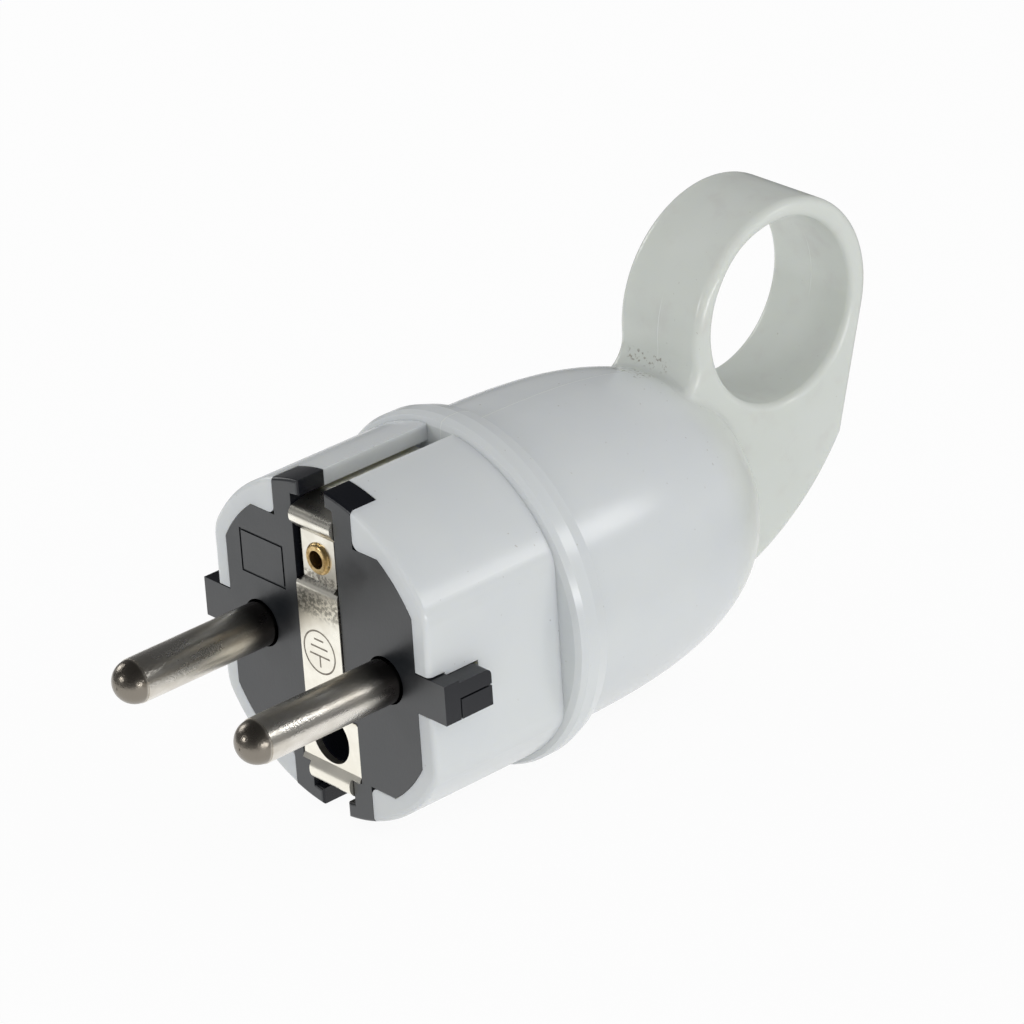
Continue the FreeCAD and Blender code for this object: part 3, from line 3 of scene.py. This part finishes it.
import bpy
from mathutils import Euler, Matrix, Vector


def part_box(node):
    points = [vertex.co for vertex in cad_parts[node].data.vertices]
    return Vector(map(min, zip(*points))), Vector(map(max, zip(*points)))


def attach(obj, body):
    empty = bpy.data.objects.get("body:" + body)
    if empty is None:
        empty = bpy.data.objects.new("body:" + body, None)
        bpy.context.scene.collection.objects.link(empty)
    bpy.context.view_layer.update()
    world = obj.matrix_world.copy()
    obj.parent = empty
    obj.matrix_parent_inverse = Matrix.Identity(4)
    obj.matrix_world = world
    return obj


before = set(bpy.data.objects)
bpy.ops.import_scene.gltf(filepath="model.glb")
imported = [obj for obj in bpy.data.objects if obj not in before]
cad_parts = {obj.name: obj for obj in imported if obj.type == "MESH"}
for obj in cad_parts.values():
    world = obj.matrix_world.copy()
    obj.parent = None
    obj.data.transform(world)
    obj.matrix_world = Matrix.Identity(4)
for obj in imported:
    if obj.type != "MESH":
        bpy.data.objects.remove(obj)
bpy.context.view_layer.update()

MM = 0.001

# Camera and framing, fitted to the photograph

CAMERA_PLACE = Vector((377.64, -328.578, 268.36)) * MM
CAMERA_TURN = (63.975, 3.390, 47.385)
CAMERA_LENS = 190.52
SENSOR_WIDTH = 36.0

# Places in the object's frame

FACE_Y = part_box("front_shell")[0].y
AXIS_Z = (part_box("pin_left")[0].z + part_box("pin_left")[1].z) / 2
STRAP_FRONT_Y = FACE_Y - 0.2 * MM
RING_FOOT_Y = FACE_Y + 46.0 * MM
RING_FOOT_Z = AXIS_Z + 16.0 * MM
TIP_START_Y = FACE_Y - 17.0 * MM


# Node helpers

def new_material(name):
    """A material with one Principled shader, returned with that shader."""
    material = bpy.data.materials.new(name)
    material.use_nodes = True
    nodes = material.node_tree.nodes
    nodes.clear()
    output = nodes.new("ShaderNodeOutputMaterial")
    shader = nodes.new("ShaderNodeBsdfPrincipled")
    material.node_tree.links.new(shader.outputs["BSDF"], output.inputs["Surface"])
    return material, shader


def add_node(material, kind, **settings):
    """A new node of this kind, with its properties set by name."""
    node = material.node_tree.nodes.new(kind)
    for key, value in settings.items():
        setattr(node, key, value)
    return node


def join(material, source, target):
    material.node_tree.links.new(source, target)


def place_in_mm(material):
    """Texture coordinates counted in millimetres from the object's origin."""
    coordinates = add_node(material, "ShaderNodeTexCoord")
    scaled = add_node(material, "ShaderNodeVectorMath", operation="SCALE")
    scaled.inputs["Scale"].default_value = 1 / MM
    join(material, coordinates.outputs["Object"], scaled.inputs[0])
    return scaled.outputs["Vector"]


def noise(material, place, size_mm, detail=3.0, roughness=0.5, stretch=(1, 1, 1)):
    """Noise whose blotches are about size_mm across."""
    mapping = add_node(material, "ShaderNodeMapping")
    mapping.inputs["Scale"].default_value = [axis / size_mm for axis in stretch]
    texture = add_node(material, "ShaderNodeTexNoise")
    texture.inputs["Scale"].default_value = 1.0
    texture.inputs["Detail"].default_value = detail
    texture.inputs["Roughness"].default_value = roughness
    join(material, place, mapping.inputs["Vector"])
    join(material, mapping.outputs["Vector"], texture.inputs["Vector"])
    return texture.outputs["Fac"]


def ramp(material, source, stops):
    """Colour ramp. Stops are (position, colour) with colours as three numbers or one grey."""
    node = add_node(material, "ShaderNodeValToRGB")
    node.color_ramp.interpolation = "EASE"
    elements = node.color_ramp.elements
    while len(elements) < len(stops):
        elements.new(0.5)
    for element, (position, colour) in zip(elements, stops):
        element.position = position
        element.color = (*colour, 1) if isinstance(colour, tuple) else (colour, colour, colour, 1)
    join(material, source, node.inputs["Fac"])
    return node.outputs["Color"]


def mix(material, factor, first, second, blend="MIX"):
    node = add_node(material, "ShaderNodeMix", data_type="RGBA", blend_type=blend)
    for value, socket in ((factor, node.inputs[0]), (first, node.inputs[6]), (second, node.inputs[7])):
        if isinstance(value, bpy.types.NodeSocket):
            join(material, value, socket)
        elif isinstance(value, tuple):
            socket.default_value = (*value, 1)
        else:
            socket.default_value = value
    return node.outputs[2]


def apart(material, place):
    """The X, Y and Z of a place as three values."""
    node = add_node(material, "ShaderNodeSeparateXYZ")
    join(material, place, node.inputs["Vector"])
    return node.outputs


def combine(material, operation, first, second):
    node = add_node(material, "ShaderNodeMath", operation=operation)
    join(material, first, node.inputs[0])
    join(material, second, node.inputs[1])
    return node.outputs["Value"]


def times(material, first, second):
    return combine(material, "MULTIPLY", first, second)


def band(material, value, low, high, soft):
    """One between low and high, fading to zero within soft on either side."""
    rise = add_node(material, "ShaderNodeMapRange", interpolation_type="SMOOTHSTEP")
    rise.inputs["From Min"].default_value = low - soft
    rise.inputs["From Max"].default_value = low
    fall = add_node(material, "ShaderNodeMapRange", interpolation_type="SMOOTHSTEP")
    fall.inputs["From Min"].default_value = high + soft
    fall.inputs["From Max"].default_value = high
    join(material, value, rise.inputs["Value"])
    join(material, value, fall.inputs["Value"])
    return times(material, rise.outputs["Result"], fall.outputs["Result"])


def bump(material, shader, height, strength, distance_mm, below=None):
    node = add_node(material, "ShaderNodeBump")
    node.inputs["Strength"].default_value = strength
    node.inputs["Distance"].default_value = distance_mm * MM
    join(material, height, node.inputs["Height"])
    if below is not None:
        join(material, below, node.inputs["Normal"])
    join(material, node.outputs["Normal"], shader.inputs["Normal"])
    return node.outputs["Normal"]


# Materials

def white_plastic():
    """Glossy moulding. The ring is greener and smudged by hands, with a raised parting line along its band
    that carries a painted highlight.
    """
    material, shader = new_material("white_plastic")
    place = place_in_mm(material)
    x, y, z = apart(material, place)
    cloud = noise(material, place, 9.0, detail=2.0)
    grain = noise(material, place, 0.35, detail=2.0)
    body = ramp(material, cloud, [(0.25, (0.690, 0.719, 0.729)), (0.75, (0.710, 0.737, 0.737))])
    ring = ramp(material, cloud, [(0.25, (0.680, 0.712, 0.668)), (0.75, (0.705, 0.735, 0.698))])
    on_ring = band(material, y, RING_FOOT_Y / MM + 2, 100, 6)
    colour = mix(material, on_ring, body, ring)
    smears = ramp(material, noise(material, place, 3.2, detail=3.0), [(0.50, 0.0), (0.80, 0.30)])
    colour = mix(material, times(material, smears, on_ring), colour, (0.58, 0.56, 0.54))
    specks = ramp(material, noise(material, place, 0.5, detail=1.0), [(0.77, 0.0), (0.81, 0.45)])
    colour = mix(material, specks, colour, (0.36, 0.33, 0.28))
    grime = ramp(material, noise(material, place, 0.4, detail=2.0), [(0.55, 0.0), (0.64, 0.7)])
    foot = times(material, band(material, x, -3.6, 1.2, 1.0),
                 band(material, z, RING_FOOT_Z / MM - 1.2, RING_FOOT_Z / MM - 0.5, 0.5))
    foot = times(material, foot, band(material, y, RING_FOOT_Y / MM - 3.0, RING_FOOT_Y / MM + 2.5, 0.5))
    colour = mix(material, times(material, grime, foot), colour, (0.24, 0.21, 0.16))
    # Parting line: a raised ridge, also painted lighter as a painted highlight.
    seam_and_highlight = times(material, band(material, x, -0.03, 0.03, 0.05),
                 band(material, z, RING_FOOT_Z / MM + 1.0, RING_FOOT_Z / MM + 4.0, 3.0))
    colour = mix(material, seam_and_highlight, colour, (0.80, 0.83, 0.80))
    join(material, colour, shader.inputs["Base Color"])
    join(material, ramp(material, cloud, [(0.2, 0.20), (0.8, 0.26)]), shader.inputs["Roughness"])
    shader.inputs["Subsurface Weight"].default_value = 0.30
    shader.inputs["Subsurface Radius"].default_value = (1.0, 0.95, 0.75)
    shader.inputs["Subsurface Scale"].default_value = 2.2 * MM
    shader.inputs["IOR"].default_value = 1.49
    first = bump(material, shader, grain, 0.05, 0.03)
    bump(material, shader, seam_and_highlight, 0.6, 0.04, below=first)
    return material


def black_plastic():
    """Near-black moulding. The faces at the front are rougher and a lighter grey, the grey being a painted
    sheen; the others are smoother and darker.
    """
    material, shader = new_material("black_plastic")
    place = place_in_mm(material)
    cloud = noise(material, place, 5.0, detail=4.0, roughness=0.6)
    grain = noise(material, place, 0.30, detail=4.0, roughness=0.6, stretch=(1, 1, 0.4))
    facing = apart(material, add_node(material, "ShaderNodeTexCoord").outputs["Normal"])["Y"]
    front = band(material, facing, -2.0, -0.9, 0.2)
    # Painted sheen: faces turned to the front get a lighter grey base colour than the others.
    texture = ramp(material, cloud, [(0.25, (0.012, 0.014, 0.017)), (0.75, (0.034, 0.038, 0.041))])
    smooth = ramp(material, cloud, [(0.25, (0.006, 0.007, 0.010)), (0.75, (0.010, 0.011, 0.015))])
    join(material, mix(material, front, smooth, texture), shader.inputs["Base Color"])
    join(material, ramp(material, front, [(0.0, 0.30), (1.0, 0.66)]), shader.inputs["Specular IOR Level"])
    join(material, mix(material, front, ramp(material, cloud, [(0.3, 0.20), (0.7, 0.28)]),
                       ramp(material, cloud, [(0.3, 0.30), (0.7, 0.44)])), shader.inputs["Roughness"])
    shader.inputs["IOR"].default_value = 1.6
    bump(material, shader, grain, 0.22, 0.05)
    return material


def nickel(name, tint, roughness, worn):
    """Plated metal with faint smudges. worn is how much the smudges show."""
    material, shader = new_material(name)
    place = place_in_mm(material)
    smudge = noise(material, place, 2.6, detail=5.0, roughness=0.65)
    fine = noise(material, place, 0.5, detail=3.0)
    darker = tuple(channel * (1 - 0.35 * worn) for channel in tint)
    join(material, ramp(material, smudge, [(0.36, darker), (0.62, tint)]), shader.inputs["Base Color"])
    join(material, ramp(material, smudge, [(0.3, roughness + 0.12 * worn), (0.7, roughness)]),
         shader.inputs["Roughness"])
    shader.inputs["Metallic"].default_value = 1.0
    bump(material, shader, fine, 0.06, 0.02)
    return material


def strap_metal():
    """Bright cream nickel, worn to a mottled grey just above and below the step across the face."""
    material, shader = new_material("strap_metal")
    place = place_in_mm(material)
    z = apart(material, place)["Z"]
    smudge = noise(material, place, 2.6, detail=5.0, roughness=0.65)
    mottle = noise(material, place, 0.42, detail=4.0, roughness=0.7)
    bright = ramp(material, smudge, [(0.36, (0.93, 0.895, 0.79)), (0.62, (0.99, 0.96, 0.86))])
    patches = ramp(material, mottle, [(0.42, 0.0), (0.56, 0.85)])
    below = band(material, z, AXIS_Z / MM + 4.6, AXIS_Z / MM + 5.8, 1.4)
    above = band(material, z, AXIS_Z / MM + 7.6, AXIS_Z / MM + 8.2, 0.5)
    colour = mix(material, times(material, patches, below), bright, (0.30, 0.285, 0.24))
    colour = mix(material, times(material, patches, above), colour, (0.34, 0.31, 0.26))
    join(material, colour, shader.inputs["Base Color"])
    join(material, ramp(material, smudge, [(0.3, 0.34), (0.7, 0.26)]), shader.inputs["Roughness"])
    shader.inputs["Metallic"].default_value = 1.0
    bump(material, shader, mottle, 0.10, 0.03)
    return material


def turned_pin():
    """Plated pin with a rough grain that breaks up its highlight. Its root is darkened with painted shade,
    and its tip is darker.
    """
    material, shader = new_material("turned_pin")
    place = place_in_mm(material)
    rings = noise(material, place, 0.16, detail=2.0, stretch=(0.02, 1, 0.02))
    pits = noise(material, place, 0.20, detail=1.0)
    smudge = noise(material, place, 3.0, detail=5.0, roughness=0.6, stretch=(1, 0.4, 1))
    metal = ramp(material, smudge, [(0.3, (0.62, 0.58, 0.51)), (0.7, (0.82, 0.79, 0.73))])
    y = apart(material, place)["Y"]
    # Painted shade: the pin is darkened near its root, where it enters the plate.
    root = band(material, y, FACE_Y / MM - 1.5, FACE_Y / MM + 30, 4.0)
    tip = band(material, y, FACE_Y / MM - 30, TIP_START_Y / MM, 0.4)
    colour = mix(material, root, metal, (0.10, 0.09, 0.085))
    colour = mix(material, tip, colour, (0.26, 0.235, 0.20))
    join(material, colour, shader.inputs["Base Color"])
    join(material, ramp(material, smudge, [(0.3, 0.34), (0.7, 0.25)]), shader.inputs["Roughness"])
    shader.inputs["Metallic"].default_value = 1.0
    first = bump(material, shader, rings, 0.05, 0.02)
    bump(material, shader, pits, 0.6, 0.03, below=first)
    return material


def brass():
    material, shader = new_material("brass")
    place = place_in_mm(material)
    tarnish = noise(material, place, 0.9, detail=4.0, roughness=0.6)
    join(material, ramp(material, tarnish, [(0.35, (0.42, 0.27, 0.10)), (0.62, (0.80, 0.60, 0.30))]),
         shader.inputs["Base Color"])
    join(material, ramp(material, tarnish, [(0.3, 0.42), (0.7, 0.24)]), shader.inputs["Roughness"])
    shader.inputs["Metallic"].default_value = 1.0
    return material


def sign_paint():
    """Dark cut lines of the earth sign."""
    material, shader = new_material("sign_lines")
    place = place_in_mm(material)
    cloud = noise(material, place, 0.5)
    join(material, ramp(material, cloud, [(0.3, (0.20, 0.175, 0.14)), (0.7, (0.36, 0.32, 0.26))]),
         shader.inputs["Base Color"])
    shader.inputs["Roughness"].default_value = 0.6
    return material


def rubber():
    material, shader = new_material("grey_rubber")
    place = place_in_mm(material)
    join(material, ramp(material, noise(material, place, 2.0), [(0.3, 0.09), (0.7, 0.13)]),
         shader.inputs["Base Color"])
    shader.inputs["Roughness"].default_value = 0.7
    return material


def dress(node, material):
    """Give a CAD node its material, smooth its round faces and keep its real edges."""
    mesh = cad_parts[node].data
    mesh.materials.clear()
    mesh.materials.append(material)
    mesh.shade_smooth()
    mesh.set_sharp_from_angle(angle=math.radians(28))


WHITE = white_plastic()
BLACK = black_plastic()
STEEL = nickel("zinc_steel", (0.62, 0.62, 0.60), 0.32, 0.8)
STRAP = strap_metal()
PIN = turned_pin()
BRASS = brass()
RUBBER = rubber()

LOOKS = {
    "rear_housing": WHITE,
    "front_shell": WHITE,
    "cord_clamp": WHITE,
    "contact_carrier": BLACK,
    "carrier_cover": BLACK,
    "screw_retaining_washer": BLACK,
    "pin_left": PIN,
    "pin_right": PIN,
    "earth_strap": STRAP,
    "strap_rivet": BRASS,
    "earth_terminal": BRASS,
    "threaded_insert": BRASS,
    "inlet_bush": RUBBER,
}
for node_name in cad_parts:
    dress(node_name, LOOKS.get(node_name, STEEL))


# Earth sign on the strap

# Its sizes are in millimetres, counted from the middle of the plug's face.
SIGN_PLACE = (-0.3, -0.17)
SIGN_LIFT = 0.01
SIGN_RADIUS = 2.45
SIGN_LINE = 0.19
SIGN_STEPS = 64
BAR_RISES = (1.36, 0.52, -0.41)
BAR_HALVES = (0.70, 1.27, 1.53)
STEM_LENGTH = 1.2


def sign_bar(left, right, low, high):
    return [(left, low), (right, low), (right, high), (left, high)]


def make_earth_sign():
    """A ring, three bars and a stem, as thin flat strips just in front of the strap."""
    strips = []
    for step in range(SIGN_STEPS):
        corners = []
        for turn, radius in ((step, SIGN_RADIUS), (step + 1, SIGN_RADIUS),
                             (step + 1, SIGN_RADIUS - SIGN_LINE), (step, SIGN_RADIUS - SIGN_LINE)):
            angle = math.tau * turn / SIGN_STEPS
            corners.append((radius * math.cos(angle), radius * math.sin(angle)))
        strips.append(corners)
    for rise, half in zip(BAR_RISES, BAR_HALVES):
        strips.append(sign_bar(-half, half, rise - SIGN_LINE / 2, rise + SIGN_LINE / 2))
    stem_top = BAR_RISES[-1] - SIGN_LINE / 2
    strips.append(sign_bar(-SIGN_LINE / 2, SIGN_LINE / 2, stem_top - STEM_LENGTH, stem_top))
    points = []
    faces = []
    for corners in strips:
        faces.append(range(len(points), len(points) + len(corners)))
        for x, z in corners:
            points.append(((SIGN_PLACE[0] + x) * MM, STRAP_FRONT_Y - SIGN_LIFT * MM,
                           AXIS_Z + (SIGN_PLACE[1] + z) * MM))
    mesh = bpy.data.meshes.new("earth_sign")
    mesh.from_pydata(points, [], [list(face) for face in faces])
    mesh.materials.append(sign_paint())
    sign = bpy.data.objects.new("earth_sign", mesh)
    bpy.context.collection.objects.link(sign)
    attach(sign, "root")


make_earth_sign()


# Floor, light and camera

FLOOR_SIZE = 0.8
FLOOR_DROP = 0.0002
FLOOR_WHITE = 0.94
MIRRORED_REACH = 115
MIRRORED_RIGHT = 25
MIRRORED_FADE = 90

LIGHT_STOPS = ((0.0, 1.0), (0.3, 0.82), (1.0, 0.57))
LIGHT_STRENGTH = 0.83
MIRRORED_STOPS = ((0.0, 0.28), (0.12, 0.20), (0.34, 0.09), (1.0, 0.05))

LAMP_TARGET = Vector((0, 0, 0.02))
LAMPS = (
    ("back_light", (0.68, 0.59, 0.44), (0.20, 0.20), 0.8),
    ("front_light", (-0.35, -0.85, 0.35), (0.18, 0.18), 0.85),
    ("left_light", (-0.80, -0.10, 0.35), (0.30, 0.30), 1.0),
    ("low_light", (0.80, -0.10, 0.06), (0.5, 0.10), 1.6),
)


def make_floor():
    """White table. In mirrors it is white close to the object and dark further off and to the right."""
    bpy.ops.mesh.primitive_plane_add(size=FLOOR_SIZE, location=(0, 0, -FLOOR_DROP))
    floor = bpy.context.object
    floor.name = "floor"
    material, shader = new_material("floor_white")
    nodes = material.node_tree.nodes
    output = next(node for node in nodes if node.type == "OUTPUT_MATERIAL")
    shader.inputs["Base Color"].default_value = (0.95, 0.95, 0.95, 1)
    shader.inputs["Roughness"].default_value = 0.9
    glow = add_node(material, "ShaderNodeEmission")
    glow.inputs["Color"].default_value = (1, 1, 1, 1)
    blend = add_node(material, "ShaderNodeMixShader")
    path = add_node(material, "ShaderNodeLightPath")
    place = place_in_mm(material)
    x, y = apart(material, place)[:2]
    across = combine(material, "ADD", x, y)
    distance = add_node(material, "ShaderNodeVectorMath", operation="LENGTH")
    join(material, place, distance.inputs[0])
    near = band(material, distance.outputs["Value"], -1, MIRRORED_REACH, MIRRORED_FADE)
    left = band(material, across, -1000, MIRRORED_RIGHT, MIRRORED_FADE)
    mirrored = combine(material, "MAXIMUM", path.outputs["Is Glossy Ray"],
                       path.outputs["Is Transmission Ray"])
    seen = add_node(material, "ShaderNodeMath", operation="MULTIPLY")
    seen.inputs[1].default_value = FLOOR_WHITE
    join(material, path.outputs["Is Camera Ray"], seen.inputs[0])
    join(material, combine(material, "MAXIMUM", seen.outputs["Value"], mirrored), blend.inputs["Fac"])
    lit = combine(material, "MAXIMUM", path.outputs["Is Camera Ray"], times(material, near, left))
    join(material, lit, glow.inputs["Strength"])
    join(material, shader.outputs["BSDF"], blend.inputs[1])
    join(material, glow.outputs["Emission"], blend.inputs[2])
    join(material, blend.outputs["Shader"], output.inputs["Surface"])
    floor.data.materials.append(material)


def sky(nodes, links, place, stops, strength):
    """Background whose grey follows the height of the direction."""
    split = nodes.new("ShaderNodeSeparateXYZ")
    greys = nodes.new("ShaderNodeValToRGB")
    background = nodes.new("ShaderNodeBackground")
    background.inputs["Strength"].default_value = strength
    elements = greys.color_ramp.elements
    while len(elements) < len(stops):
        elements.new(0.5)
    for element, (position, grey) in zip(elements, stops):
        element.position = position
        element.color = (grey, grey, grey * 1.01, 1)
    links.new(place, split.inputs["Vector"])
    links.new(split.outputs["Z"], greys.inputs["Fac"])
    links.new(greys.outputs["Color"], background.inputs["Color"])
    return background.outputs["Background"]


def make_world():
    """White to the camera. It lights evenly, and in mirrors it is grey at the horizon and dark overhead."""
    world = bpy.data.worlds.new("studio")
    bpy.context.scene.world = world
    world.use_nodes = True
    nodes = world.node_tree.nodes
    links = world.node_tree.links
    nodes.clear()
    output = nodes.new("ShaderNodeOutputWorld")
    place = nodes.new("ShaderNodeTexCoord").outputs["Generated"]
    path = nodes.new("ShaderNodeLightPath")
    white = nodes.new("ShaderNodeBackground")
    white.inputs["Color"].default_value = (1, 1, 1, 1)
    light = sky(nodes, links, place, LIGHT_STOPS, LIGHT_STRENGTH)
    mirrored = sky(nodes, links, place, MIRRORED_STOPS, 1.0)
    below = light
    for seen, what in (("Is Glossy Ray", mirrored), ("Is Camera Ray", white.outputs["Background"])):
        choose = nodes.new("ShaderNodeMixShader")
        links.new(path.outputs[seen], choose.inputs["Fac"])
        links.new(below, choose.inputs[1])
        links.new(what, choose.inputs[2])
        below = choose.outputs["Shader"]
    links.new(below, output.inputs["Surface"])


def make_lamp(name, place, size, power):
    data = bpy.data.lights.new(name, "AREA")
    data.shape = "RECTANGLE"
    data.size, data.size_y = size
    data.energy = power
    lamp = bpy.data.objects.new(name, data)
    bpy.context.collection.objects.link(lamp)
    lamp.location = place
    lamp.rotation_mode = "QUATERNION"
    lamp.rotation_quaternion = (LAMP_TARGET - Vector(place)).to_track_quat("-Z", "Y")


def make_camera():
    data = bpy.data.cameras.new("camera")
    data.lens = CAMERA_LENS
    data.sensor_width = SENSOR_WIDTH
    data.clip_start = 0.01
    data.clip_end = 20
    camera = bpy.data.objects.new("camera", data)
    bpy.context.collection.objects.link(camera)
    camera.location = CAMERA_PLACE
    camera.rotation_euler = Euler([math.radians(angle) for angle in CAMERA_TURN], "XYZ")
    bpy.context.scene.camera = camera


make_floor()
make_world()
for lamp_settings in LAMPS:
    make_lamp(*lamp_settings)
make_camera()
bpy.context.scene.view_settings.view_transform = "Standard"
